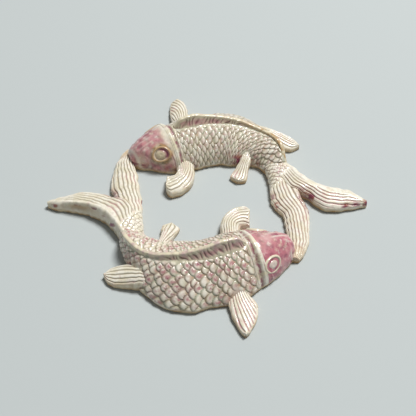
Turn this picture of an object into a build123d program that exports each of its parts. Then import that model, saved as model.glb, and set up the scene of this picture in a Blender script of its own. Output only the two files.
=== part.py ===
"""A ceramic ornament: two koi that chase each other round a ring, each built up from its own clay pieces.

Millimetres, +Z up, the ring's centre on the table at the origin. The front koi lies at -Y with its head
towards +X; the rear koi is turned half a turn about the ring's centre, and its tail and fins differ.
"""
import math
import os

from build123d import *

# Place and bend of a koi's spine in plan: two tangent arcs that meet at mid-body
MID_BODY_BACK = 14.0
MID_BODY_OUT = 66.0
FRONT_BEND_RADIUS = 105.0
REAR_BEND_RADIUS = 36.0

# Lengths along the spine
BODY_FRONT_LENGTH = 41.0
BODY_REAR_LENGTH = 54.0
GILL_BAND_WIDTH = 6.5
HEAD_LENGTH = 27.5

# Trunk section: half-widths to the outside and inside of the ring, and heights
OUTER_HALF_WIDTH = 28.0
INNER_HALF_WIDTH = 28.0
CROWN_HEIGHT = 26.0
FOOT_HEIGHT = 3.0
GILL_BAND_PROUD = 0.6

# Dorsal fin
DORSAL_HEIGHT = 8.0
DORSAL_ROOT_HALF_WIDTH = 7.0
DORSAL_CREST_HALF_WIDTH = 1.4
DORSAL_SINK = 5.0

# Eyes
EYE_DIAMETER = 12.4
EYE_PROUD = 0.6
EYE_DEPTH = 3.0
PUPIL_DIAMETER = 5.4
EYE_GROOVE_WIDTH = 1.5
EYE_GROOVE_DEPTH = 0.8

# Tail: the ring lobe reaches the other koi's snout, the free lobe points out of the ring
RING_LOBE_HALF_WIDTH = 11.0
RING_LOBE_THICKNESS = 8.0
FRONT_RING_LOBE_BULGE = 5.0
REAR_RING_LOBE_BULGE = 6.0
RING_LOBE_END = 16.0
FREE_LOBE_HALF_WIDTH = 11.0
FREE_LOBE_RIDGE_HEIGHT = 13.0
FREE_LOBE_REACH = 114.0
FRONT_FREE_LOBE_TIP_BACK = 2.0
REAR_FREE_LOBE_TIP_FORWARD = 1.0
FREE_LOBE_BULGE = 13.5

# Paired fins: full length from the root point inside the body, widest half-width, root and tip heights
OUTER_PECTORAL_LENGTH = 33.5
FRONT_OUTER_PECTORAL_HALF_WIDTH = 10.0
REAR_OUTER_PECTORAL_HALF_WIDTH = 7.2
INNER_PECTORAL_LEAD = 9.0
INNER_PECTORAL_RADIUS = 14.5
INNER_PECTORAL_LENGTH = 32.5
INNER_PECTORAL_HALF_WIDTH = 7.8
FRONT_OUTER_PELVIC_LENGTH = 25.0
FRONT_OUTER_PELVIC_HALF_WIDTH = 9.0
REAR_OUTER_PELVIC_LENGTH = 28.5
REAR_OUTER_PELVIC_HALF_WIDTH = 8.0
INNER_PELVIC_LENGTH = 24.0
INNER_PELVIC_HALF_WIDTH = 5.6
OUTER_PECTORAL_ROOT_HEIGHT = 8.5
INNER_PECTORAL_ROOT_HEIGHT = 11.0
PELVIC_ROOT_HEIGHT = 12.0
FIN_TIP_HEIGHT = 5.0
FRONT_INNER_PECTORAL_TIP_HEIGHT = 10.5
REAR_INNER_PECTORAL_TIP_HEIGHT = 8.5

# Swing of each fin's root line from the spine's outward normal, in degrees, counter-clockwise from above
OUTER_PECTORAL_SWING = -10.0
INNER_PECTORAL_SWING = 162.0
FRONT_OUTER_PELVIC_SWING = -56.0
REAR_OUTER_PELVIC_SWING = -70.0
FRONT_INNER_PELVIC_SWING = 217.0
REAR_INNER_PELVIC_SWING = 211.0
HALF_TURN = 180.0

# How far cuts and trimmed blanks run past the faces they cut
OVERRUN = 4.0

# Trunk rows: station, outer half-width, inner half-width, crown height, crown lean, dorsal rise, dorsal root
BODY_SHARES = [
    (-1.00, 0.37, 0.27, 0.46, 0.26, 0.20, 0.20),
    (-0.85, 0.37, 0.42, 0.67, 0.25, 0.28, 0.24),
    (-0.70, 0.39, 0.64, 0.73, 0.20, 0.26, 0.32),
    (-0.55, 0.50, 0.79, 0.73, 0.14, 0.27, 0.45),
    (-0.40, 0.67, 0.91, 0.75, 0.07, 0.34, 0.62),
    (-0.26, 0.79, 0.95, 0.81, 0.01, 0.44, 0.75),
    (-0.11, 0.96, 0.95, 0.87, -0.04, 0.53, 0.86),
    (0.10, 1.00, 0.94, 0.92, -0.05, 0.62, 0.94),
    (0.34, 0.90, 0.94, 0.96, -0.06, 0.82, 1.00),
    (0.58, 0.90, 0.98, 1.00, -0.09, 1.00, 1.00),
    (0.83, 0.83, 1.00, 1.00, -0.11, 0.88, 0.90),
    (1.00, 0.71, 1.00, 0.98, -0.11, 0.40, 0.70),
]

# Head rows: station, outer half-width, inner half-width, crown height, crown lean
HEAD_SHARES = [
    (0.00, 0.66, 0.96, 0.98, -0.11),
    (0.17, 0.61, 0.91, 0.94, -0.11),
    (0.38, 0.55, 0.80, 0.88, -0.11),
    (0.60, 0.49, 0.62, 0.81, -0.09),
    (0.78, 0.42, 0.44, 0.73, -0.06),
    (0.93, 0.35, 0.33, 0.63, -0.03),
    (1.00, 0.29, 0.27, 0.54, -0.01),
    (1.12, 0.21, 0.21, 0.42, 0.00),
]

# A dome leaves its foot upright and passes its shoulder at this share of its reach and rise
BODY_OUTER_SHOULDER_SHARE = 0.58
BODY_INNER_SHOULDER_SHARE = 0.66
HEAD_OUTER_SHOULDER_SHARE = 0.70
HEAD_INNER_SHOULDER_SHARE = 0.66
SLAB_SHOULDER_SHARE = 0.69

# Lobe rows: station, half-widths to the path's left and right, crown height, crown lean
FRONT_RING_LOBE_SHARES = [
    (0.00, 0.56, 0.60, 1.25, 0.00),
    (0.07, 0.60, 0.70, 1.30, 0.00),
    (0.18, 0.66, 0.82, 1.28, 0.00),
    (0.30, 0.66, 0.97, 1.18, 0.00),
    (0.41, 0.66, 1.06, 1.08, 0.00),
    (0.51, 0.82, 0.99, 1.00, 0.00),
    (0.58, 0.95, 0.93, 0.96, 0.00),
    (0.70, 0.84, 0.84, 0.92, 0.00),
    (0.83, 0.72, 0.58, 0.88, 0.00),
    (0.94, 0.46, 0.36, 0.82, 0.00),
    (1.00, 0.27, 0.23, 0.74, 0.00),
]
REAR_RING_LOBE_SHARES = [
    (0.00, 0.56, 0.66, 1.25, 0.00),
    (0.07, 0.60, 0.72, 1.30, 0.00),
    (0.18, 0.66, 0.82, 1.28, 0.00),
    (0.30, 0.66, 1.08, 1.18, 0.00),
    (0.39, 0.74, 1.16, 1.08, 0.00),
    (0.47, 0.99, 0.98, 1.00, 0.00),
    (0.56, 1.06, 0.62, 0.96, 0.00),
    (0.68, 0.95, 0.58, 0.92, 0.00),
    (0.83, 0.80, 0.50, 0.88, 0.00),
    (0.94, 0.53, 0.36, 0.82, 0.00),
    (1.00, 0.27, 0.23, 0.74, 0.00),
]
FRONT_FREE_LOBE_SHARES = [
    (0.00, 0.50, 0.50, 0.80, 0.40),
    (0.06, 0.60, 0.56, 0.86, 0.50),
    (0.16, 0.64, 0.80, 0.98, 0.60),
    (0.31, 0.60, 1.30, 1.00, 0.55),
    (0.43, 0.62, 1.18, 1.00, 0.50),
    (0.57, 0.64, 1.05, 0.94, 0.58),
    (0.70, 0.65, 0.90, 0.86, 0.66),
    (0.82, 0.60, 0.50, 0.74, 0.60),
    (0.92, 0.46, 0.30, 0.62, 0.40),
    (1.00, 0.16, 0.14, 0.46, 0.00),
]
REAR_FREE_LOBE_SHARES = [
    (0.00, 0.50, 0.50, 0.80, 0.40),
    (0.06, 0.68, 0.56, 0.84, 0.50),
    (0.16, 0.86, 0.62, 0.90, 0.60),
    (0.31, 0.92, 0.64, 0.88, 0.55),
    (0.40, 0.94, 0.44, 0.85, 0.50),
    (0.47, 0.96, 0.34, 0.82, 0.50),
    (0.56, 1.02, 0.58, 0.78, 0.50),
    (0.65, 1.10, 0.74, 0.74, 0.50),
    (0.74, 1.16, 0.60, 0.70, 0.50),
    (0.84, 1.12, 0.36, 0.66, 0.46),
    (0.93, 0.74, 0.22, 0.58, 0.30),
    (1.00, 0.24, 0.14, 0.46, 0.00),
]

# Upright edge of a lobe, where the lobes start in the body, and where the snout leans on the ring lobe
LOBE_FOOT_SHARE = 0.42
LOBE_ROOT_SHARE = 0.94
RING_LOBE_INSET_SHARE = 0.02
FREE_LOBE_OFFSET_SHARE = 0.09
SNOUT_SEAT_SHARE = 0.55

# Fin rows: station, half-widths to the path's left and right, and how far the height has come down to the tip
FRONT_LEAF_SHARES = [
    (0.00, 0.55, 0.55, 0.00),
    (0.12, 0.64, 0.62, 0.12),
    (0.25, 0.92, 0.78, 0.28),
    (0.40, 1.08, 0.76, 0.48),
    (0.56, 1.00, 0.66, 0.66),
    (0.72, 0.80, 0.52, 0.82),
    (0.87, 0.48, 0.32, 0.94),
    (1.00, 0.14, 0.12, 1.00),
]
REAR_LEAF_SHARES = [
    (0.00, 0.80, 0.80, 0.00),
    (0.30, 0.95, 0.90, 0.30),
    (0.50, 1.00, 1.00, 0.55),
    (0.70, 0.94, 0.94, 0.76),
    (0.86, 0.70, 0.70, 0.90),
    (1.00, 0.28, 0.28, 1.00),
]
DROP_SHARES = [
    (0.00, 1.00, 1.00, 0.00),
    (0.30, 1.00, 1.00, 0.30),
    (0.55, 0.96, 0.96, 0.62),
    (0.75, 0.80, 0.80, 0.85),
    (0.90, 0.54, 0.54, 0.96),
    (1.00, 0.24, 0.24, 1.00),
]
HOOK_SHARES = [
    (0.00, 0.80, 0.80, 0.00),
    (0.30, 0.86, 0.84, 0.30),
    (0.55, 0.98, 1.06, 0.62),
    (0.75, 1.04, 1.34, 0.85),
    (0.90, 1.00, 1.44, 0.96),
    (1.00, 0.78, 1.24, 1.00),
]
FLARE_SHARES = [
    (0.00, 0.76, 0.76, 0.00),
    (0.30, 0.76, 0.78, 0.30),
    (0.55, 0.84, 0.90, 0.62),
    (0.75, 1.02, 1.12, 0.85),
    (0.90, 1.06, 1.20, 0.96),
    (1.00, 0.70, 0.84, 1.00),
]
FIN_FOOT_SHARE = 0.62

# Where fins and eyes stand: station, and distance from the spine or the crown as a share of the reach there
OUTER_PECTORAL_SHARES = (0.73, 0.74)
INNER_PECTORAL_SHARES = (0.97, 0.80)
OUTER_PELVIC_SHARES = (-0.45, 0.68)
INNER_PELVIC_SHARES = (-0.58, 0.70)
OUTER_EYE_SHARES = (0.20, 0.84)
INNER_EYE_SHARES = (0.42, 0.68)
EYE_SPAN_SHARE = 0.12


def spine_point(station):
    """Plan point of the spine and its outward normal; the station is positive towards the head."""
    radius = FRONT_BEND_RADIUS if station >= 0 else REAR_BEND_RADIUS
    angle = station / radius
    normal = Vector(math.sin(angle), -math.cos(angle))
    centre = Vector(-MID_BODY_BACK, radius - MID_BODY_OUT)
    return centre + normal * radius, normal


def spine_plane(station):
    """Upright plane across the spine: local x points out of the ring and local y points up."""
    point, normal = spine_point(station)
    return Plane(origin=point, x_dir=normal, z_dir=normal.cross(Vector(0, 0, 1)))


def path_plane(point, heading):
    """Upright plane across a path: local x points to the path's left and local y points up."""
    left = Vector(-math.sin(heading), math.cos(heading))
    return Plane(origin=point, x_dir=left, z_dir=left.cross(Vector(0, 0, 1)))


def dome_section(plane, outer, inner, crown, lean, foot, outer_shoulder, inner_shoulder):
    """Flat-based dome on short upright feet, from -inner to outer, highest at lean."""
    rise = crown - foot
    with BuildSketch(plane) as section:
        with BuildLine():
            Polyline((-inner, foot), (-inner, -OVERRUN), (outer, -OVERRUN), (outer, foot))
            Spline(
                (outer, foot),
                (lean + (outer - lean) * outer_shoulder, foot + rise * outer_shoulder),
                (lean, crown),
                (lean - (inner + lean) * inner_shoulder, foot + rise * inner_shoulder),
                (-inner, foot),
            )
        make_face()
    return section.sketch


def slab_section(plane, left, right, crown, lean, foot):
    """Section of a fin or a tail lobe."""
    return dome_section(plane, left, right, crown, lean, foot, SLAB_SHOULDER_SHARE, SLAB_SHOULDER_SHARE)


def trunk_section(station, shares, outer_shoulder, inner_shoulder, proud=0.0):
    """Section of the body or head at a station, from its row of shares."""
    outer, inner, crown, lean = shares
    return dome_section(
        spine_plane(station),
        OUTER_HALF_WIDTH * outer + proud,
        INNER_HALF_WIDTH * inner + proud,
        CROWN_HEIGHT * crown + proud,
        OUTER_HALF_WIDTH * lean,
        FOOT_HEIGHT,
        outer_shoulder,
        inner_shoulder,
    )


def body_section(shares, proud=0.0):
    """Section of the body from its row."""
    station = body_station(shares[0])
    return trunk_section(station, shares[1:5], BODY_OUTER_SHOULDER_SHARE, BODY_INNER_SHOULDER_SHARE, proud)


def head_section(shares, proud=0.0):
    """Section of the head from its row."""
    station = head_station(shares[0])
    return trunk_section(station, shares[1:], HEAD_OUTER_SHOULDER_SHARE, HEAD_INNER_SHOULDER_SHARE, proud)


def body_station(share):
    """Station of a share of the body's front or rear length."""
    return share * (BODY_FRONT_LENGTH if share >= 0 else BODY_REAR_LENGTH)


def table_row(table, share):
    """Row of a table of shares at any station, between the rows on either side of it."""
    rows = zip(table, table[1:])
    before, after = next((a, b) for a, b in rows if share <= b[0])
    blend = (share - before[0]) / (after[0] - before[0])
    return [a + (b - a) * blend for a, b in zip(before, after)]


def head_station(share):
    """Station of a share of the head's length."""
    return BODY_FRONT_LENGTH + GILL_BAND_WIDTH + HEAD_LENGTH * share


def arc_planes(start, end, bulge, shares):
    """Planes along an arc from start to end that bulges to the right of its chord."""
    chord = end - start
    radius = (chord.length / 2) ** 2 / (2 * bulge) + bulge / 2
    half_turn = math.asin(chord.length / 2 / radius)
    first = math.atan2(chord.Y, chord.X) - half_turn
    planes = []
    for share in shares:
        heading = first + 2 * half_turn * share
        across = Vector(math.sin(heading) - math.sin(first), math.cos(first) - math.cos(heading))
        planes.append(path_plane(start + across * radius, heading))
    return planes


def fin_root(shares, half_width_share, half_width):
    """Point inside the body from which a fin starts, and the spine's outward normal there."""
    point, normal = spine_point(body_station(shares[0]))
    return point + normal * (half_width * half_width_share * shares[1]), normal


def blank(sections):
    """Loft through sections that start below the table."""
    with BuildPart() as rough:
        loft(sections=sections)
    return rough.part


def seated(piece):
    """The piece cut level with the table."""
    with BuildPart() as flat:
        add(piece)
        split(bisect_by=Plane.XY, keep=Keep.TOP)
    return flat.part


def cut_by(piece, *others):
    """The piece with the room of the other pieces taken out of it."""
    with BuildPart() as trimmed:
        add(piece)
        for other in others:
            add(other, mode=Mode.SUBTRACT)
    return trimmed.part


def behind_body(piece):
    """The part of the piece that lies behind the body's end."""
    with BuildPart() as trimmed:
        add(piece)
        split(bisect_by=spine_plane(-BODY_REAR_LENGTH), keep=Keep.TOP)
    return trimmed.part


def turned(piece, degrees):
    """The piece turned about the ring's centre."""
    with BuildPart() as placed:
        add(piece, rotation=(0, 0, degrees))
    return placed.part


def make_body():
    return blank([body_section(row) for row in BODY_SHARES])


def make_head():
    return blank([head_section(row) for row in HEAD_SHARES])


def make_gill_collar():
    return blank([body_section(BODY_SHARES[-1], GILL_BAND_PROUD), head_section(HEAD_SHARES[0], GILL_BAND_PROUD)])


def make_dorsal_fin():
    """Blade along the crown, wide at its root and thin at its crest."""
    sections = []
    for share, _, _, crown, lean, rise, root in BODY_SHARES:
        middle = OUTER_HALF_WIDTH * lean
        low = CROWN_HEIGHT * crown - DORSAL_SINK
        high = CROWN_HEIGHT * crown + DORSAL_HEIGHT * rise
        foot = DORSAL_ROOT_HALF_WIDTH * root
        with BuildSketch(spine_plane(body_station(share))) as section:
            with BuildLine():
                Polyline(
                    (middle - foot, low),
                    (middle + foot, low),
                    (middle + DORSAL_CREST_HALF_WIDTH, high),
                    (middle - DORSAL_CREST_HALF_WIDTH, high),
                    close=True,
                )
            make_face()
        sections.append(section.sketch)
    with BuildPart() as blade:
        loft(sections=sections)
    return blade.part


def head_point(station, out_share, half_width):
    """Point on the head's skin; its side follows out**p + up**p = 1 in shares of its reach and rise."""
    row = table_row(HEAD_SHARES, station)
    lean = OUTER_HALF_WIDTH * row[4]
    reach = half_width * (row[1] if half_width > 0 else row[2]) - lean
    rise = CROWN_HEIGHT * row[3] - FOOT_HEIGHT
    shoulder = HEAD_OUTER_SHOULDER_SHARE if half_width > 0 else HEAD_INNER_SHOULDER_SHARE
    power = math.log(1 / 2) / math.log(shoulder)
    up_share = (1 - out_share**power) ** (1 / power)
    point, normal = spine_point(head_station(station))
    return point + normal * (lean + reach * out_share) + Vector(0, 0, FOOT_HEIGHT + rise * up_share)


def eye_plane(shares, half_width):
    """Plane that touches the head's skin where an eye sits, facing outwards."""
    station, out_share = shares
    seat = head_point(station, out_share, half_width)
    ahead = head_point(station + EYE_SPAN_SHARE, out_share, half_width)
    behind = head_point(station - EYE_SPAN_SHARE, out_share, half_width)
    above = head_point(station, out_share - EYE_SPAN_SHARE, half_width)
    below = head_point(station, out_share + EYE_SPAN_SHARE, half_width)
    facing = (ahead - behind).cross(above - below)
    return Plane(origin=seat, z_dir=facing if facing.Z > 0 else facing * -1)


def make_eye(plane):
    """Ringed disc let into the side of the head: a pupil, a groove round it and a raised rim."""
    with BuildPart() as eye:
        with BuildSketch(plane.offset(-EYE_DEPTH)):
            Circle(EYE_DIAMETER / 2)
        extrude(amount=EYE_DEPTH + EYE_PROUD)
        with BuildSketch(plane.offset(EYE_PROUD)):
            Circle(PUPIL_DIAMETER / 2 + EYE_GROOVE_WIDTH)
            Circle(PUPIL_DIAMETER / 2, mode=Mode.SUBTRACT)
        extrude(amount=-EYE_GROOVE_DEPTH, mode=Mode.SUBTRACT)
    return eye.part


def make_eye_socket(plane):
    """The room that an eye takes up in the head and in front of it."""
    with BuildPart() as socket:
        with BuildSketch(plane.offset(-EYE_DEPTH)):
            Circle(EYE_DIAMETER / 2)
        extrude(amount=EYE_DEPTH + EYE_PROUD + OVERRUN)
    return socket.part


def make_fin(planes, rows, half_width, root_height, tip_height=FIN_TIP_HEIGHT):
    """Fin slab that lies on the table and thins from its root to its tip."""
    sections = []
    for plane, (_, left_share, right_share, drop_share) in zip(planes, rows):
        height = root_height + (tip_height - root_height) * drop_share
        left = half_width * left_share
        right = half_width * right_share
        sections.append(slab_section(plane, left, right, height, 0.0, height * FIN_FOOT_SHARE))
    return blank(sections)


def straight_planes(root, heading, length, rows):
    """Planes along a straight fin."""
    along = Vector(math.cos(heading), math.sin(heading))
    return [path_plane(root + along * (length * row[0]), heading) for row in rows]


def hooked_planes(root, heading, lead, radius, length, rows):
    """Planes along a fin that runs straight for its lead and then bends round to the right."""
    planes = []
    for row in rows:
        distance = length * row[0]
        straight = min(distance, lead)
        turn = max(distance - lead, 0) / radius
        now = heading - turn
        bend = Vector(math.sin(heading) - math.sin(now), math.cos(now) - math.cos(heading)) * radius
        along = Vector(math.cos(heading), math.sin(heading)) * straight
        planes.append(path_plane(root + along + bend, now))
    return planes


def swung(normal, degrees):
    """Heading of a fin that is swung from the spine's outward normal."""
    return math.atan2(normal.Y, normal.X) + math.radians(degrees)


def make_outer_pectoral(rows, half_width):
    row = table_row(BODY_SHARES, OUTER_PECTORAL_SHARES[0])
    root, normal = fin_root(OUTER_PECTORAL_SHARES, row[1], OUTER_HALF_WIDTH)
    planes = straight_planes(root, swung(normal, OUTER_PECTORAL_SWING), OUTER_PECTORAL_LENGTH, rows)
    return make_fin(planes, rows, half_width, OUTER_PECTORAL_ROOT_HEIGHT)


def make_inner_pectoral(tip_height):
    row = table_row(BODY_SHARES, INNER_PECTORAL_SHARES[0])
    root, normal = fin_root(INNER_PECTORAL_SHARES, row[2], -INNER_HALF_WIDTH)
    heading = swung(normal, INNER_PECTORAL_SWING)
    planes = hooked_planes(
        root, heading, INNER_PECTORAL_LEAD, INNER_PECTORAL_RADIUS, INNER_PECTORAL_LENGTH, HOOK_SHARES
    )
    return make_fin(planes, HOOK_SHARES, INNER_PECTORAL_HALF_WIDTH, INNER_PECTORAL_ROOT_HEIGHT, tip_height)


def make_outer_pelvic(swing, length, half_width):
    row = table_row(BODY_SHARES, OUTER_PELVIC_SHARES[0])
    root, normal = fin_root(OUTER_PELVIC_SHARES, row[1], OUTER_HALF_WIDTH)
    planes = straight_planes(root, swung(normal, swing), length, DROP_SHARES)
    return make_fin(planes, DROP_SHARES, half_width, PELVIC_ROOT_HEIGHT)


def make_inner_pelvic(swing):
    row = table_row(BODY_SHARES, INNER_PELVIC_SHARES[0])
    root, normal = fin_root(INNER_PELVIC_SHARES, row[2], -INNER_HALF_WIDTH)
    planes = straight_planes(root, swung(normal, swing), INNER_PELVIC_LENGTH, FLARE_SHARES)
    return make_fin(planes, FLARE_SHARES, INNER_PELVIC_HALF_WIDTH, PELVIC_ROOT_HEIGHT)


def make_lobe(planes, rows, half_width, crown):
    """Tail lobe on its path, with its crown leaning to the path's left."""
    sections = []
    for plane, (_, left_share, right_share, crown_share, lean_share) in zip(planes, rows):
        left = half_width * left_share
        right = half_width * right_share
        height = crown * crown_share
        sections.append(slab_section(plane, left, right, height, left * lean_share, height * LOBE_FOOT_SHARE))
    return blank(sections)


def make_ring_lobe(rows, bulge):
    """Lobe from behind the body's end to the other koi's snout and a little past it."""
    root, outward = spine_point(-BODY_REAR_LENGTH * LOBE_ROOT_SHARE)
    start = root - outward * (INNER_HALF_WIDTH * RING_LOBE_INSET_SHARE)
    snout, normal = spine_point(head_station(1))
    forward = Vector(0, 0, 1).cross(normal)
    seat = (snout + forward * (RING_LOBE_HALF_WIDTH * SNOUT_SEAT_SHARE)) * -1
    end = seat + Vector(0, RING_LOBE_END)
    planes = arc_planes(start, end, -bulge, [row[0] for row in rows])
    return behind_body(make_lobe(planes, rows, RING_LOBE_HALF_WIDTH, RING_LOBE_THICKNESS))


def make_free_lobe(rows, tip_back):
    """Lobe from behind the body's end out of the ring, with the dorsal line carried along its outer edge."""
    root, outward = spine_point(-BODY_REAR_LENGTH * LOBE_ROOT_SHARE)
    start = root + outward * (OUTER_HALF_WIDTH * FREE_LOBE_OFFSET_SHARE)
    tip = Vector(-FREE_LOBE_REACH, -tip_back)
    planes = arc_planes(start, tip, FREE_LOBE_BULGE, [row[0] for row in rows])
    return behind_body(make_lobe(planes, rows, FREE_LOBE_HALF_WIDTH, FREE_LOBE_RIDGE_HEIGHT))


def make_koi(ring_lobe, free_lobe, fins, other_ring_lobe):
    """All pieces of one koi in the front koi's place, each cut where a larger piece stands."""
    body = make_body()
    collar = make_gill_collar()
    head = make_head()
    outer_eye = eye_plane(OUTER_EYE_SHARES, OUTER_HALF_WIDTH)
    inner_eye = eye_plane(INNER_EYE_SHARES, -INNER_HALF_WIDTH)
    sockets = (make_eye_socket(outer_eye), make_eye_socket(inner_eye))
    clay = {
        "body": body,
        "gill_collar": cut_by(collar, *sockets),
        "head": cut_by(head, turned(other_ring_lobe, HALF_TURN), *sockets),
        "dorsal_fin": cut_by(make_dorsal_fin(), body),
        "outer_eye": make_eye(outer_eye),
        "inner_eye": make_eye(inner_eye),
        "tail_ring_lobe": ring_lobe,
        "tail_free_lobe": cut_by(free_lobe, ring_lobe),
    }
    for name, fin in fins.items():
        clay[name] = cut_by(fin, body, collar, head)
    return {name: seated(piece) for name, piece in clay.items()}


front_ring_lobe = make_ring_lobe(FRONT_RING_LOBE_SHARES, FRONT_RING_LOBE_BULGE)
rear_ring_lobe = make_ring_lobe(REAR_RING_LOBE_SHARES, REAR_RING_LOBE_BULGE)
front_free_lobe = make_free_lobe(FRONT_FREE_LOBE_SHARES, FRONT_FREE_LOBE_TIP_BACK)
rear_free_lobe = make_free_lobe(REAR_FREE_LOBE_SHARES, -REAR_FREE_LOBE_TIP_FORWARD)
front_fins = {
    "outer_pectoral_fin": make_outer_pectoral(FRONT_LEAF_SHARES, FRONT_OUTER_PECTORAL_HALF_WIDTH),
    "inner_pectoral_fin": make_inner_pectoral(FRONT_INNER_PECTORAL_TIP_HEIGHT),
    "outer_pelvic_fin": make_outer_pelvic(
        FRONT_OUTER_PELVIC_SWING, FRONT_OUTER_PELVIC_LENGTH, FRONT_OUTER_PELVIC_HALF_WIDTH
    ),
    "inner_pelvic_fin": make_inner_pelvic(FRONT_INNER_PELVIC_SWING),
}
rear_fins = {
    "outer_pectoral_fin": make_outer_pectoral(REAR_LEAF_SHARES, REAR_OUTER_PECTORAL_HALF_WIDTH),
    "inner_pectoral_fin": make_inner_pectoral(REAR_INNER_PECTORAL_TIP_HEIGHT),
    "outer_pelvic_fin": make_outer_pelvic(
        REAR_OUTER_PELVIC_SWING, REAR_OUTER_PELVIC_LENGTH, REAR_OUTER_PELVIC_HALF_WIDTH
    ),
    "inner_pelvic_fin": make_inner_pelvic(REAR_INNER_PELVIC_SWING),
}
front_koi = make_koi(front_ring_lobe, front_free_lobe, front_fins, rear_ring_lobe)
rear_koi = make_koi(rear_ring_lobe, rear_free_lobe, rear_fins, front_ring_lobe)
os.makedirs("parts", exist_ok=True)
for koi_name, koi, turn in (("front_koi", front_koi, 0.0), ("rear_koi", rear_koi, HALF_TURN)):
    for piece_name, piece in koi.items():
        node = turned(piece, turn)
        node.label = f"{koi_name}_{piece_name}"
        export_step(node, f"parts/{node.label}.step")
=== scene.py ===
"""Two glazed clay koi that chase each other round a ring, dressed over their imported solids.

Sizes are in millimetres in the front koi's place; the rear koi is turned half a turn about the ring's centre.
"""
import math

import bpy
import numpy as np
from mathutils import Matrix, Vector


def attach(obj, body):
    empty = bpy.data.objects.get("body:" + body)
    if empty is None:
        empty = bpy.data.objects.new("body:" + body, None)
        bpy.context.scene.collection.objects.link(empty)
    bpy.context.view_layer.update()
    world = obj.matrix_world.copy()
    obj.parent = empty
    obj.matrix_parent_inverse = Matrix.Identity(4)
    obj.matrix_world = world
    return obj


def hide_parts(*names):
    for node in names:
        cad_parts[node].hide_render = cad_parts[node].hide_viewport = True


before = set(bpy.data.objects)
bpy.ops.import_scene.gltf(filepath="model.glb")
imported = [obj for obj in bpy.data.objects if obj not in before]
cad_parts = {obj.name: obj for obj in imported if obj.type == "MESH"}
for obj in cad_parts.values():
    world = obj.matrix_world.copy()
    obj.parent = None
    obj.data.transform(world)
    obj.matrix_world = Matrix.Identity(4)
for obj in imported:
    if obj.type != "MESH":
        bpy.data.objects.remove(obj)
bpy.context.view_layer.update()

MM = 0.001
BODY = "root"

# Spine in plan: two tangent arcs that meet at mid-body
MID_BODY_BACK = 14.0
MID_BODY_OUT = 66.0
FRONT_BEND_RADIUS = 105.0
REAR_BEND_RADIUS = 36.0
BODY_FRONT_LENGTH = 41.0
BODY_REAR_LENGTH = 54.0
GILL_BAND_WIDTH = 6.5
HEAD_LENGTH = 27.5

# Trunk section
HALF_WIDTH = 28.0
CROWN_HEIGHT = 26.0
FOOT_HEIGHT = 3.0
FOOT_TUCK = 0.9

# Dorsal fin, eyes, tail and paired fins
DORSAL_HEIGHT = 8.0
DORSAL_ROOT_HALF_WIDTH = 7.0
DORSAL_CREST_HALF_WIDTH = 1.4
DORSAL_SINK = 5.0
EYE_RADIUS = 6.2
RING_LOBE_HALF_WIDTH = 11.0
RING_LOBE_THICKNESS = 8.0
RING_LOBE_END = 16.0
FREE_LOBE_HALF_WIDTH = 11.0
FREE_LOBE_RIDGE_HEIGHT = 13.0
FREE_LOBE_REACH = 114.0
FREE_LOBE_BULGE = 13.5

# Trunk rows: station, outer half-width, inner half-width, crown height, crown lean, dorsal rise, dorsal root
BODY_SHARES = [
    (-1.00, 0.37, 0.27, 0.46, 0.26, 0.20, 0.20),
    (-0.85, 0.37, 0.42, 0.67, 0.25, 0.28, 0.24),
    (-0.70, 0.39, 0.64, 0.73, 0.20, 0.26, 0.32),
    (-0.55, 0.50, 0.79, 0.73, 0.14, 0.27, 0.45),
    (-0.40, 0.67, 0.91, 0.75, 0.07, 0.34, 0.62),
    (-0.26, 0.79, 0.95, 0.81, 0.01, 0.44, 0.75),
    (-0.11, 0.96, 0.95, 0.87, -0.04, 0.53, 0.86),
    (0.10, 1.00, 0.94, 0.92, -0.05, 0.62, 0.94),
    (0.34, 0.90, 0.94, 0.96, -0.06, 0.82, 1.00),
    (0.58, 0.90, 0.98, 1.00, -0.09, 1.00, 1.00),
    (0.83, 0.83, 1.00, 1.00, -0.11, 0.88, 0.90),
    (1.00, 0.71, 1.00, 0.98, -0.11, 0.40, 0.70),
]

# Head rows: station, outer half-width, inner half-width, crown height, crown lean
HEAD_SHARES = [
    (0.00, 0.66, 0.96, 0.98, -0.11),
    (0.17, 0.61, 0.91, 0.94, -0.11),
    (0.38, 0.55, 0.80, 0.88, -0.11),
    (0.60, 0.49, 0.62, 0.81, -0.09),
    (0.78, 0.42, 0.44, 0.73, -0.06),
    (0.93, 0.35, 0.33, 0.63, -0.03),
    (1.00, 0.29, 0.27, 0.54, -0.01),
    (1.12, 0.21, 0.21, 0.42, 0.00),
]

# Lobe rows: station, half-widths to the path's left and right, crown height, crown lean
RING_LOBE_SHARES = {
    "front_koi": [
        (0.00, 0.56, 0.60, 1.25, 0.00),
        (0.07, 0.60, 0.70, 1.30, 0.00),
        (0.18, 0.66, 0.82, 1.28, 0.00),
        (0.30, 0.66, 0.97, 1.18, 0.00),
        (0.41, 0.66, 1.06, 1.08, 0.00),
        (0.51, 0.82, 0.99, 1.00, 0.00),
        (0.58, 0.95, 0.93, 0.96, 0.00),
        (0.70, 0.84, 0.84, 0.92, 0.00),
        (0.83, 0.72, 0.58, 0.88, 0.00),
        (0.94, 0.46, 0.36, 0.82, 0.00),
        (1.00, 0.27, 0.23, 0.74, 0.00),
    ],
    "rear_koi": [
        (0.00, 0.56, 0.66, 1.25, 0.00),
        (0.07, 0.60, 0.72, 1.30, 0.00),
        (0.18, 0.66, 0.82, 1.28, 0.00),
        (0.30, 0.66, 1.08, 1.18, 0.00),
        (0.39, 0.74, 1.16, 1.08, 0.00),
        (0.47, 0.99, 0.98, 1.00, 0.00),
        (0.56, 1.06, 0.62, 0.96, 0.00),
        (0.68, 0.95, 0.58, 0.92, 0.00),
        (0.83, 0.80, 0.50, 0.88, 0.00),
        (0.94, 0.53, 0.36, 0.82, 0.00),
        (1.00, 0.27, 0.23, 0.74, 0.00),
    ],
}
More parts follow.
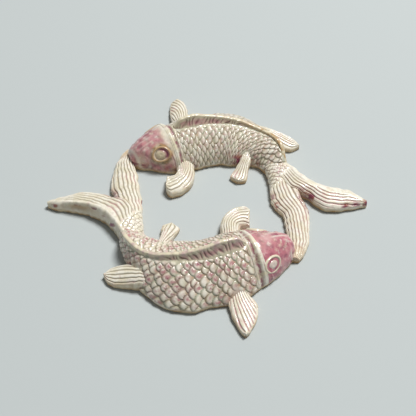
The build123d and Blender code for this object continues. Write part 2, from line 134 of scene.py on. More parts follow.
FREE_LOBE_SHARES = {
    "front_koi": [
        (0.00, 0.50, 0.50, 0.80, 0.40),
        (0.06, 0.60, 0.56, 0.86, 0.50),
        (0.16, 0.64, 0.80, 0.98, 0.60),
        (0.31, 0.60, 1.30, 1.00, 0.55),
        (0.43, 0.62, 1.18, 1.00, 0.50),
        (0.57, 0.64, 1.05, 0.94, 0.58),
        (0.70, 0.65, 0.90, 0.86, 0.66),
        (0.82, 0.60, 0.50, 0.74, 0.60),
        (0.92, 0.46, 0.30, 0.62, 0.40),
        (1.00, 0.16, 0.14, 0.46, 0.00),
    ],
    "rear_koi": [
        (0.00, 0.50, 0.50, 0.80, 0.40),
        (0.06, 0.68, 0.56, 0.84, 0.50),
        (0.16, 0.86, 0.62, 0.90, 0.60),
        (0.31, 0.92, 0.64, 0.88, 0.55),
        (0.40, 0.94, 0.44, 0.85, 0.50),
        (0.47, 0.96, 0.34, 0.82, 0.50),
        (0.56, 1.02, 0.58, 0.78, 0.50),
        (0.65, 1.10, 0.74, 0.74, 0.50),
        (0.74, 1.16, 0.60, 0.70, 0.50),
        (0.84, 1.12, 0.36, 0.66, 0.46),
        (0.93, 0.74, 0.22, 0.58, 0.30),
        (1.00, 0.24, 0.14, 0.46, 0.00),
    ],
}
RING_LOBE_BULGE = {"front_koi": 5.0, "rear_koi": 6.0}
FREE_LOBE_TIP_BACK = {"front_koi": 2.0, "rear_koi": -1.0}
LOBE_FOOT_SHARE = 0.42
LOBE_ROOT_SHARE = 0.94
RING_LOBE_INSET_SHARE = 0.02
FREE_LOBE_OFFSET_SHARE = 0.09
SNOUT_SEAT_SHARE = 0.55

# Fin rows: station, half-widths to the path's left and right, and how far the height has come down to the tip
FRONT_LEAF_SHARES = [
    (0.00, 0.55, 0.55, 0.00),
    (0.12, 0.64, 0.62, 0.12),
    (0.25, 0.92, 0.78, 0.28),
    (0.40, 1.08, 0.76, 0.48),
    (0.56, 1.00, 0.66, 0.66),
    (0.72, 0.80, 0.52, 0.82),
    (0.87, 0.48, 0.32, 0.94),
    (1.00, 0.14, 0.12, 1.00),
]
REAR_LEAF_SHARES = [
    (0.00, 0.80, 0.80, 0.00),
    (0.30, 0.95, 0.90, 0.30),
    (0.50, 1.00, 1.00, 0.55),
    (0.70, 0.94, 0.94, 0.76),
    (0.86, 0.80, 0.80, 0.90),
    (1.00, 0.46, 0.46, 1.00),
]
DROP_SHARES = [
    (0.00, 1.00, 1.00, 0.00),
    (0.30, 1.00, 1.00, 0.30),
    (0.55, 0.96, 0.96, 0.62),
    (0.75, 0.80, 0.80, 0.85),
    (0.90, 0.54, 0.54, 0.96),
    (1.00, 0.24, 0.24, 1.00),
]
HOOK_SHARES = [
    (0.00, 0.80, 0.80, 0.00),
    (0.30, 0.86, 0.84, 0.30),
    (0.55, 0.98, 1.06, 0.62),
    (0.75, 1.04, 1.34, 0.85),
    (0.90, 1.00, 1.44, 0.96),
    (1.00, 0.78, 1.24, 1.00),
]
FLARE_SHARES = [
    (0.00, 0.76, 0.76, 0.00),
    (0.30, 0.76, 0.78, 0.30),
    (0.55, 0.84, 0.90, 0.62),
    (0.75, 1.02, 1.12, 0.85),
    (0.90, 1.06, 1.20, 0.96),
    (1.00, 0.70, 0.84, 1.00),
]
FIN_FOOT_SHARE = 0.50
NECK_SHARE = 0.20
FIN_SUNK_SHARE = 0.20
TIP_CLEARANCE = 0.3

# Fins: rows, station share, share of the body's half-width, swing from the spine's outward normal in degrees, length,
# half-width, straight lead and bend radius (none where straight), root height, tip height
FINS = {
    "front_koi": {
        "outer_pectoral_fin": (FRONT_LEAF_SHARES, 0.73, 0.74, -10.0, 33.5, 10.0, 0.0, 0.0, 8.5, 5.0),
        "inner_pectoral_fin": (HOOK_SHARES, 0.97, -0.80, 162.0, 32.5, 7.8, 9.0, 14.5, 11.0, 10.5),
        "outer_pelvic_fin": (DROP_SHARES, -0.45, 0.68, -56.0, 25.0, 9.0, 0.0, 0.0, 12.0, 5.0),
        "inner_pelvic_fin": (FLARE_SHARES, -0.58, -0.70, 217.0, 24.0, 5.6, 0.0, 0.0, 12.0, 5.0),
    },
    "rear_koi": {
        "outer_pectoral_fin": (REAR_LEAF_SHARES, 0.73, 0.74, -10.0, 33.5, 7.2, 0.0, 0.0, 8.5, 5.0),
        "inner_pectoral_fin": (HOOK_SHARES, 0.97, -0.80, 162.0, 32.5, 7.8, 9.0, 14.5, 11.0, 8.5),
        "outer_pelvic_fin": (DROP_SHARES, -0.45, 0.68, -70.0, 28.5, 8.0, 0.0, 0.0, 12.0, 5.0),
        "inner_pelvic_fin": (FLARE_SHARES, -0.58, -0.70, 211.0, 24.0, 5.6, 0.0, 0.0, 12.0, 5.0),
    },
}
FIN_RAYS = {"outer_pectoral_fin": 7.5, "inner_pectoral_fin": 6.5, "outer_pelvic_fin": 6.0, "inner_pelvic_fin": 5.0}
FIN_SWEEP = {"inner_pectoral_fin": 0.6, "outer_pelvic_fin": 0.9, "inner_pelvic_fin": 0.6}
FAN_PIVOT_SHARE = 0.35
FAN_ANGLE = 0.70
FAN_CURL = 0.45
EYES = {"outer_eye": (0.20, 0.84, 1), "inner_eye": (0.42, 0.68, -1)}
EYE_SPAN_SHARE = 0.12
EYE_LIFT = {"front_koi": {1: 0.1, -1: 0.5}, "rear_koi": {1: -0.3, -1: 0.5}}

# Fullness of the domes: power p in out**p + up**p = 1
BODY_OUTER_POWER = 1.27
BODY_INNER_POWER = 1.67
HEAD_OUTER_POWER = 1.94
HEAD_INNER_POWER = 1.67
SLAB_POWER = 1.87


def eased(rows, at):
    """Columns of a table at any station: cubic pieces whose slopes never overshoot a row.

    The slope at a row is the harmonic mean of the slopes on either side, and zero where they differ in sign.
    """
    rows = np.asarray(rows, float)
    x, y = rows[:, 0], rows[:, 1:]
    step = np.diff(x)[:, None]
    chord = np.diff(y, axis=0) / step
    slope = np.concatenate([chord[:1], np.zeros_like(chord[1:]), chord[-1:]])
    product = chord[:-1] * chord[1:]
    total = chord[:-1] + chord[1:]
    slope[1:-1] = np.where(product > 0, 2 * product / np.where(total == 0, 1, total), 0)
    at = np.asarray(at, float)
    k = np.clip(np.searchsorted(x, at) - 1, 0, len(x) - 2)
    t = ((at - x[k]) / (x[k + 1] - x[k]))[..., None]
    h = step[k]
    low = y[k] * (1 + 2 * t) * (1 - t) ** 2 + slope[k] * h * t * (1 - t) ** 2
    high = y[k + 1] * t**2 * (3 - 2 * t) + slope[k + 1] * h * t**2 * (t - 1)
    return np.moveaxis(low + high, -1, 0)


def ramp(low, high, x):
    """Smooth step from 0 at low to 1 at high."""
    t = np.clip((x - low) / (high - low), 0, 1)
    return t * t * (3 - 2 * t)


def hump(x, middle, width):
    """Bell of height 1 round the middle."""
    return np.exp(-(((x - middle) / width) ** 2))


def wobble(x, y, seed):
    """Slow unevenness of hand work in -1 to 1: the mean of four slanted sine waves."""
    turns = seed * 1.7 + np.arange(4) * 2.399
    waves = [np.sin((x * math.cos(a) + y * math.sin(a)) * (1 + 0.37 * k) + 5.1 * k + seed) for k, a in enumerate(turns)]
    return sum(waves) / 4


def scatter(i, j, seed):
    """Number in 0 to 1 that differs for each pair of whole numbers."""
    return np.mod(np.sin(i * 127.1 + j * 311.7 + seed * 74.7) * 43758.5453, 1.0)


def spine(station):
    """Plan point and outward normal of the spine; the station is positive towards the head."""
    station = np.asarray(station, float)
    radius = np.where(station >= 0, FRONT_BEND_RADIUS, REAR_BEND_RADIUS)
    angle = station / radius
    normal = np.stack([np.sin(angle), -np.cos(angle)], -1)
    centre = np.stack([np.full_like(radius, -MID_BODY_BACK), radius - MID_BODY_OUT], -1)
    return centre + normal * radius[..., None], normal


def body_station(share):
    """Station of a share of the body's front or rear length."""
    return np.where(share >= 0, share * BODY_FRONT_LENGTH, share * BODY_REAR_LENGTH)


def section_track(dome_count, foot_count):
    """Side from -1 to 1 over the dome and foot share from 0 at the table to 1, round one section."""
    over = np.linspace(-1, 1, dome_count)
    rise = np.linspace(0, 1, foot_count, endpoint=False)
    side = np.concatenate([np.full(foot_count, -1.0), over, np.full(foot_count, 1.0)])
    foot = np.concatenate([rise, np.ones(dome_count), rise[::-1]])
    return side, foot


def dome(side, foot_share, left, right, crown, lean, left_foot, right_foot, left_power, right_power):
    """Lateral place and height round flat-based sections, one row per section.

    A side reaches from the crown's lean to its edge along out**p + up**p = 1; below the foot's height the wall is
    upright and its lower edge is tucked in along a quarter circle. Left is positive.
    """
    sizes = (left, right, crown, lean, left_foot, right_foot, left_power, right_power)
    left, right, crown, lean, left_foot, right_foot, left_power, right_power = (np.atleast_1d(v)[:, None] for v in sizes)
    foot = np.where(side >= 0, left_foot, right_foot)
    power = np.where(side >= 0, left_power, right_power)
    turn = np.abs(side) * math.pi / 2
    out = np.sin(turn) ** (2 / power)
    up = np.maximum(np.cos(turn), 0) ** (2 / power)
    reach = np.where(side >= 0, left - lean, -right - lean)
    tuck = FOOT_TUCK * (1 - np.sqrt(1 - (1 - foot_share) ** 2))
    lateral = lean + reach * out - np.sign(side) * tuck
    height = foot * foot_share + (crown - foot) * up * (foot_share >= 1)
    return lateral, height


def carried(points, normals, lateral, height):
    """Sections set upright across a path: plan point plus lateral times normal, and the height."""
    plan = points[:, None] + normals[:, None] * lateral[..., None]
    return np.concatenate([plan, height[..., None]], -1)


def raised(points, relief, foot_share):
    """Grid moved along its unit normals by the relief and kept level with the table at its foot.

    A normal is the cross product of the grid's two differences, turned to face up at the top.
    """
    normal = np.cross(np.gradient(points, axis=0), np.gradient(points, axis=1))
    normal /= np.maximum(np.linalg.norm(normal, axis=-1, keepdims=True), 1e-9)
    skin = points + normal * np.sign(normal[..., 2].sum()) * relief[..., None]
    skin[..., 2] = np.maximum(skin[..., 2], 0) * (foot_share > 0)
    return skin


def girth(points, side):
    """Distance round each section from its crown, positive towards the left."""
    step = np.linalg.norm(np.diff(points, axis=1), axis=-1)
    run = np.concatenate([np.zeros((len(points), 1)), np.cumsum(step, axis=1)], 1)
    return run - run[:, [np.argmin(np.abs(side))]]


def paced(stations, pitch):
    """Count of pitches passed along the stations, where the pitch changes on the way."""
    steps = np.diff(stations, axis=0) / ((pitch[1:] + pitch[:-1]) / 2)
    return np.concatenate([np.zeros_like(steps[:1]), np.cumsum(steps, axis=0)])


def pressed_scales(along, across, seed):
    """Scales in staggered rows, one unit apart both ways, that overlap like roof tiles towards +along.

    Each scale is an oval of half-axes a and b, so du = along / a and dv = across / b from its middle. A point belongs
    to the foremost oval that holds it, or else to the nearest. A scale rises to its edge towards +along and drops
    there. Returns swell, groove, heart, low-side shade (painted shade on each scale's low side, towards -along) and
    own number.
    """
    picks = []
    for dj in (-1, 0, 1, 2):
        row = np.floor(across) + dj
        shift = 0.5 * np.mod(row, 2)
        for di in (0, 1):
            column = np.floor(along - shift) + di
            du = (along - column - shift - 0.26 * (scatter(column, row, seed) - 0.5)) / 0.78
            dv = (across - row - 0.34 * (scatter(column, row, seed + 3) - 0.5)) / 1.06
            far = np.hypot(du, dv) / (0.92 + 0.18 * scatter(column, row, seed + 5))
            picks.append((far, du, dv, scatter(column, row, seed + 7)))
    picks = [np.stack(v) for v in zip(*picks)]
    foremost = np.argmin(np.where(picks[0] < 1, -picks[1], 2 + picks[0]), axis=0)[None]
    far, du, dv, own = (np.take_along_axis(v, foremost, 0)[0] for v in picks)
    far = np.minimum(far, 1)
    swell = (0.40 + 0.60 * ramp(-0.4, 0.8, du)) * (0.25 + 0.75 * np.sqrt(1 - far**4))
    heart = hump(np.hypot(du - 0.28, dv), 0.0, 0.48)
    return swell, ramp(0.62, 0.96, far), heart, 1 - ramp(-0.3, 0.6, du), own


def add_piece(name, node, points, marks, finish, turn):
    """Closed skin over a grid whose columns run round a section, capped at both ends, facing outwards."""
    count, around, _ = points.shape
    cos, sin = math.cos(turn), math.sin(turn)
    x, y, z = np.moveaxis(points * MM, -1, 0)
    flat = np.stack([x * cos - y * sin, x * sin + y * cos, z], -1).reshape(-1, 3)
    index = np.arange(count * around).reshape(count, around)
    beside = np.roll(index, -1, axis=1)
    quads = np.stack([index[:-1], beside[:-1], beside[1:], index[1:]], -1).reshape(-1, 4)
    a, b, c, d = (flat[quads[:, k]] for k in range(4))
    caps = [index[0][::-1].tolist(), index[-1].tolist()]
    if np.einsum("ij,ij->i", a, np.cross(b, c) + np.cross(c, d)).sum() < 0:
        quads = quads[:, ::-1]
        caps = [cap[::-1] for cap in caps]
    mesh = bpy.data.meshes.new(name)
    mesh.from_pydata(flat.tolist(), [], quads.tolist() + caps)
    smooth = np.zeros(len(mesh.polygons), bool)
    smooth[:-2] = flat[quads][..., 2].max(axis=1) > 1e-6
    mesh.polygons.foreach_set("use_smooth", smooth)
    for mark, values in marks.items():
        layer = mesh.attributes.new(mark, "FLOAT", "POINT")
        layer.data.foreach_set("value", np.broadcast_to(values, (count, around)).astype(np.float32).ravel())
    mesh.materials.append(finish)
    piece = bpy.data.objects.new(name, mesh)
    bpy.context.scene.collection.objects.link(piece)
    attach(piece, BODY)
    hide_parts(node)


def bare_foot(points):
    """Bare clay along the foot: 1 at the table, fading out a few millimetres up."""
    edge = 4.2 + 1.6 * wobble(points[..., 0] * 0.16, points[..., 1] * 0.16, 2.0)
    return 1 - ramp(0.35, 1.0, points[..., 2] / edge)


def trunk(stations, rows, powers, side, foot_share, proud=0.0):
    """Body, gill or head skin: domes carried along the spine, grown by proud all round."""
    outer, inner, crown, lean = rows
    rim = 0.45 * wobble(stations * 0.33, stations * 0.11, 9.0)
    lateral, height = dome(
        side, foot_share, HALF_WIDTH * outer + proud + rim, HALF_WIDTH * inner + proud - rim,
        CROWN_HEIGHT * crown + proud, HALF_WIDTH * lean, FOOT_HEIGHT, FOOT_HEIGHT, *powers,
    )
    return carried(*spine(stations), lateral, height)


def fin_root(koi, name):
    """Plan point inside the body from which a fin starts, and the spine's outward normal there."""
    _, station, out_share = FINS[koi][name][:3]
    outer, inner = eased(BODY_SHARES, np.array(station))[:2]
    point, normal = spine(body_station(np.array(station)))
    return point + normal * (HALF_WIDTH * (outer if out_share > 0 else inner) * out_share), normal


def fin_neck(koi, name):
    """Plan point where a fin comes out of the body, a share of its length past its root."""
    root, normal = fin_root(koi, name)
    heading = math.atan2(normal[1], normal[0]) + math.radians(FINS[koi][name][3])
    return root + np.array([math.cos(heading), math.sin(heading)]) * (NECK_SHARE * FINS[koi][name][4])


def body_skin(koi):
    """Body with pressed scales, larger on the outer flank, that give way to smooth glaze at the fins' roots."""
    share = np.linspace(-1, 1, 280)
    stations = body_station(share)
    rows = eased(BODY_SHARES, share)
    side, foot = section_track(250, 6)
    points = trunk(stations, rows[:4], (BODY_OUTER_POWER, BODY_INNER_POWER), side, foot)
    around = girth(points, side)
    outer = np.broadcast_to(side > 0, around.shape)
    size = 0.76 + 0.24 * ramp(-48, 10, stations)[:, None]
    along = -np.where(outer, paced(stations[:, None], 5.7 * size), paced(stations[:, None], 5.4 * size))
    across = np.abs(around) / np.where(outer, 3.7 * size, 3.9 * size)
    sway = 0.16 * wobble(stations[:, None] * 0.12, around * 0.12, 12.0)
    swell, groove, heart, low_side_shade, own = pressed_scales(along + sway, across + sway, len(koi))
    foot_line = 0.62 * DORSAL_ROOT_HALF_WIDTH * rows[5][:, None]
    beside = np.minimum.reduce([np.linalg.norm(points[..., :2] - fin_neck(koi, name), axis=-1) for name in FINS[koi]])
    pool = np.maximum(1 - ramp(-0.8, 2.0, np.abs(around) - foot_line), 1 - ramp(3.5, 6.5, beside))
    kept = (1 - pool) * ramp(1.8, 4.5, points[..., 2])
    clay = wobble(points[..., 0] * 0.2, points[..., 1] * 0.2, 5.0) + wobble(points[..., 0] * 0.7, points[..., 1] * 0.7, 6.0)
    relief = (1.9 * swell - 1.0) * kept + 0.18 * clay
    marks = {
        "groove": groove * kept,
        "heart": heart * kept * ramp(0.05, 0.45, own),
        # painted shade: each scale's low side, towards -along, is tinted celadon and tan
        "low_side_shade": low_side_shade * kept,
        # painted highlight: the raised part of each scale, off its grooves, is lightened towards pale cream
        "rim": ramp(0.55, 1.0, swell) * (1 - groove) * kept,
        "pool": pool,
        "stain": (1 - ramp(7.0, 13.0, beside)) * (1 - ramp(7.0, 13.0, points[..., 2])) * (1 - 0.6 * ramp(-5, 5, stations))[:, None],
        "bare_clay_and_shade": bare_foot(points),
    }
    return raised(points, relief, foot), marks


def gill_skin(koi):
    """Gill band: a thin ridge, a sunk groove and a wider ridge one after another along the spine."""
    share = np.linspace(-0.08, 1.08, 54)
    stations = BODY_FRONT_LENGTH + GILL_BAND_WIDTH * share
    behind = eased(BODY_SHARES, np.array([1.0]))[:4]
    ahead = eased(HEAD_SHARES, np.array([0.0]))
    blend = np.clip(share, 0, 1)
    side, foot = section_track(170, 6)
    powers = (BODY_OUTER_POWER + (HEAD_OUTER_POWER - BODY_OUTER_POWER) * blend, BODY_INNER_POWER)
    points = trunk(stations, behind + (ahead - behind) * blend, powers, side, foot, 0.1)
    ridge = 0.35 * hump(share, 0.14, 0.10) + 0.40 * hump(share, 0.80, 0.15) - 0.40 * hump(share, 0.44, 0.16)
    uneven = 1 + 0.35 * wobble(points[..., 1] * 0.4, points[..., 2] * 0.5, 3.0)
    relief = ridge[:, None] * uneven * ramp(1.0, 4.0, points[..., 2])
    groove = hump(share, 0.44, 0.19)[:, None] * np.ones_like(relief)
    return raised(points, relief, foot), {"groove": groove, "bare_clay_and_shade": bare_foot(points)}


def head_skin(koi):
    """Head that tapers to a blunt snout, with a mouth line, a lip, nostril bumps and brow lines."""
    front = koi == "front_koi"
    share = np.concatenate([np.linspace(-0.02, 0.93, 100), 0.93 + 0.16 * np.sin(np.linspace(0.03, 1, 36) * math.pi / 2)])
    stations = BODY_FRONT_LENGTH + GILL_BAND_WIDTH + HEAD_LENGTH * share
    outer, inner, crown, lean = eased(HEAD_SHARES, share)
    round_off = np.sqrt(np.clip(1 - (np.maximum(share - 0.93, 0) / 0.1605) ** 2, 0.003, 1))
    rows = (outer * round_off, inner * round_off, crown * (0.35 + 0.65 * round_off), lean)
    side, foot = section_track(190, 6)
    points = trunk(stations, rows, (HEAD_OUTER_POWER, HEAD_INNER_POWER), side, foot)
    along = np.broadcast_to(share[:, None], points.shape[:2])
    around = girth(points, side)
    height = points[..., 2]
    mouth = hump(height, 6.0 + 3.0 * (1.0 - along), 0.8) * ramp(0.80, 0.90, along)
    smile = hump(along, 0.76 + 0.0016 * (height - 8) ** 2, 0.030) * ramp(3.0, 5.5, height) * (1 - ramp(11.0, 14.0, height))
    lip = hump(along, 0.985, 0.03) * ramp(2.0, 4.0, height)
    nostril = hump(along, 0.78, 0.05) * (hump(around, 5.2, 1.2) + hump(around, -5.2, 1.2))
    brow = (hump(around, -2.6, 0.8) + hump(around, 1.6, 0.8)) * ramp(0.40, 0.55, along) * (1 - ramp(0.86, 0.98, along))
    cheek = hump(along, 0.11 + 0.0010 * (height - 10) ** 2, 0.025) * ramp(2.5, 5.0, height) * (1 - ramp(15, 19, height))
    clay = 0.22 * wobble(along * 26, around * 0.5, 4.0)
    relief = clay + 0.35 * lip + 0.6 * nostril + 0.3 * brow + 0.35 * smile - 0.55 * mouth
    relief = (relief + (0.35 if front else -0.35) * cheek) * ramp(1.0, 3.5, height)
    inward = ramp(2.0, 8.0, -around)
    pale = 0.9 * lip + 0.6 * nostril + (0.8 if front else 0.35) * (brow + smile)
    if front:
        flush = 0.95 + 0.12 * wobble(along * 9, around * 0.25, 6.0) - 0.3 * hump(along, 0.30, 0.22) * hump(around, 1.0, 6.0)
        olive = 0 * along
    else:
        seat = head_point(*EYES["inner_eye"])
        apart = np.linalg.norm(points - seat, axis=-1)
        flush = ramp(-0.04, 0.36, along) * (0.95 - 0.35 * inward) + 0.25 * wobble(along * 11, around * 0.3, 7.0)
        flush = np.maximum(flush, 0.95 * hump(apart, 11.0, 3.0) * ramp(0.10, 0.25, along)) * ramp(6.5, 9.0, apart)
        olive = np.maximum(1 - ramp(7.0, 11.0, apart), inward * (1 - ramp(6.0, 11.0, height)))
        pale = pale + 0.7 * hump(along, 0.04, 0.12) * (1 - ramp(8, 14, np.abs(around)))
    marks = {
        "groove": np.clip(mouth + (0.0 if front else 0.7) * cheek, 0, 1),
        "flush": np.clip(flush, 0, 1),
        "pale": np.clip(pale, 0, 1),
        "olive": olive,
        "bare_clay_and_shade": bare_foot(points),
    }
    return raised(points, relief, foot), marks


def dorsal_skin(koi):
    """Dorsal blade: hollow sides from a wide root to a rounded crest, with slanted strokes pressed into them."""
    share = np.linspace(-1, 1, 280)
    stations = body_station(share)
    _, _, crown, lean, rise, root = eased(BODY_SHARES, share)
    middle = (HALF_WIDTH * lean)[:, None]
    low = (CROWN_HEIGHT * crown - DORSAL_SINK)[:, None]
    dip = hump(stations, 17, 6) if koi == "rear_koi" else hump(stations, -4, 8)
    wave = 0.35 * wobble(stations * 0.7, 0 * stations, 14.0) - 0.15 - 0.9 * dip
    sunk = 2.4 * (1 - ramp(-1.0, -0.80, share)) + 1.6 * ramp(0.90, 1.0, share)
    high = (CROWN_HEIGHT * crown + DORSAL_HEIGHT * rise + np.minimum(wave, 0) - sunk)[:, None]
    wide = (DORSAL_ROOT_HALF_WIDTH * root)[:, None]
    up = np.linspace(0, 1, 36)
    level = np.concatenate([up, np.ones(11), up[::-1]])
    edge = np.concatenate([np.ones(36), np.linspace(1, -1, 13)[1:-1], -np.ones(36)])
    thick = DORSAL_CREST_HALF_WIDTH * (0.75 + 0.25 * ramp(0.6, 1.0, level))
    half = thick + np.maximum(wide - thick, 0) * (1 - level) ** 1.25
    crest = np.sqrt(np.clip(1 - edge**2, 0, 1)) * (level >= 1) * 0.7
    points, normals = spine(stations)
    blade = carried(points, normals, middle + half * edge, low + (high - low - 0.7) * level + crest)
    slant = stations[:, None] / 3.3 + level * 1.8 + 0.7 * wobble(stations[:, None] * 0.45, level * 2, 8.0)
    strokes = ramp(0.30, 1.0, np.abs(np.mod(slant, 1.0) - 0.5) * 2) * ramp(0.30, 0.55, level)
    strokes = strokes * (1 - 0.75 * ramp(0.88, 0.98, level))
    strokes = strokes * ramp(-0.7, 0.1, wobble(stations[:, None] * 0.30, level * 2, 10.0))
    strokes = strokes * ramp(0.25, 0.6, rise)[:, None]
    sideways = np.concatenate([normals, np.zeros((len(normals), 1))], 1)[:, None] * np.sign(edge)[None, :, None]
    skin = blade - sideways * (0.6 * strokes)[..., None]
    crest_line = ramp(0.70, 0.96, level) * np.ones_like(strokes)
    flush = ramp(-34, 8, stations)[:, None] * ramp(0.35, 0.6, level)
    worn = (1 - ramp(-30, 0, stations))[:, None] * np.ones_like(strokes)
    return skin, {"groove": strokes, "flush": flush, "crest": crest_line, "worn": worn, "bare_clay_and_shade": 0.0}


def head_point(station, out_share, way):
    """Point on the head's skin, from its rows and the fullness of its domes."""
    outer, inner, crown, lean = (float(v) for v in eased(HEAD_SHARES, np.array(station)))
    power = HEAD_OUTER_POWER if way > 0 else HEAD_INNER_POWER
    lean *= HALF_WIDTH
    reach = (HALF_WIDTH * outer - lean) if way > 0 else (-HALF_WIDTH * inner - lean)
    up = (1 - out_share**power) ** (1 / power)
    point, normal = spine(np.array(BODY_FRONT_LENGTH + GILL_BAND_WIDTH + HEAD_LENGTH * station))
    plan = point + normal * (lean + reach * out_share)
    return np.array([*plan, FOOT_HEIGHT + (CROWN_HEIGHT * crown - FOOT_HEIGHT) * up])


def eye_skin(koi, place):
    """Ringed eye: a button, a groove round it and a raised rim, turned about the skin's normal at its seat."""
    station, out_share, way = place
    seat = head_point(station, out_share, way)
    ahead = head_point(station + EYE_SPAN_SHARE, out_share, way) - head_point(station - EYE_SPAN_SHARE, out_share, way)
    above = head_point(station, out_share - EYE_SPAN_SHARE, way) - head_point(station, out_share + EYE_SPAN_SHARE, way)
    facing = np.cross(ahead, above)
    facing *= np.sign(facing[2]) / np.linalg.norm(facing)
    ahead -= facing * (ahead @ facing)
    ahead /= np.linalg.norm(ahead)
    above = np.cross(facing, ahead)
    radius = np.concatenate([np.linspace(0.04, 1, 50) * EYE_RADIUS, np.full(6, EYE_RADIUS)])
    share = radius / EYE_RADIUS
    button = np.sqrt(np.clip(1 - (share / 0.48) ** 2, 0, 1)) - 0.4 * hump(share, 0.0, 0.14)
    ring = 0.75 * hump(share, 0.86, 0.13) - 0.3 * hump(share, 0.62, 0.12)
    rise = 0.7 * button + ring - 0.3 * ramp(0.94, 1.0, share) + EYE_LIFT[koi][way]
    rise[50:] -= np.linspace(0.3, 2.4, 6)
    turn = np.linspace(0, 2 * math.pi, 80, endpoint=False)
    uneven = 1 + 0.03 * np.sin(2 * turn + 1.0) + 0.02 * np.sin(3 * turn)
    disc = ahead * (1.18 * np.cos(turn))[:, None] + above * np.sin(turn)[:, None]
    wrap = radius[:, None] ** 2 * (np.cos(turn) ** 2 / 60 + np.sin(turn) ** 2 / 36)
    skin = seat + disc[None] * (radius[:, None] * uneven)[..., None] + facing * (rise[:, None] - wrap)[..., None]
    behind = np.zeros(80) if koi == "front_koi" else ramp(-0.2, 0.7, -np.cos(turn - 0.5))
    shade = np.full(80, 0.9) if koi == "front_koi" else 0.25 + 0.75 * behind
    iris = hump(share[:, None], 0.62, 0.12 + 0.10 * behind) * shade
    return skin, {"groove": iris, "rim": ramp(0.70, 0.78, share)[:, None] * np.ones(80), "bare_clay_and_shade": 0.0}


def arc_path(start, end, bulge, share):
    """Points and left normals along an arc from start to end that bulges to the right of its chord."""
    chord = end - start
    length = np.hypot(*chord)
    radius = (length / 2) ** 2 / (2 * bulge) + bulge / 2
    half_turn = math.asin(length / 2 / radius)
    first = math.atan2(chord[1], chord[0]) - half_turn
    heading = first + 2 * half_turn * share
    across = np.stack([np.sin(heading) - math.sin(first), math.cos(first) - np.cos(heading)], -1)
    return start + across * radius, np.stack([-np.sin(heading), np.cos(heading)], -1)


def path_run(points):
    """Distance along a path."""
    return np.concatenate([[0], np.cumsum(np.linalg.norm(np.diff(points, axis=0), axis=-1))])


def ray_grooves(phase):
    """Grooves between rays, one for each whole number of the phase: 1 in a groove and 0 on a ridge."""
    return ramp(0.45, 1.0, np.abs(np.mod(phase, 1.0) - 0.5) * 2)


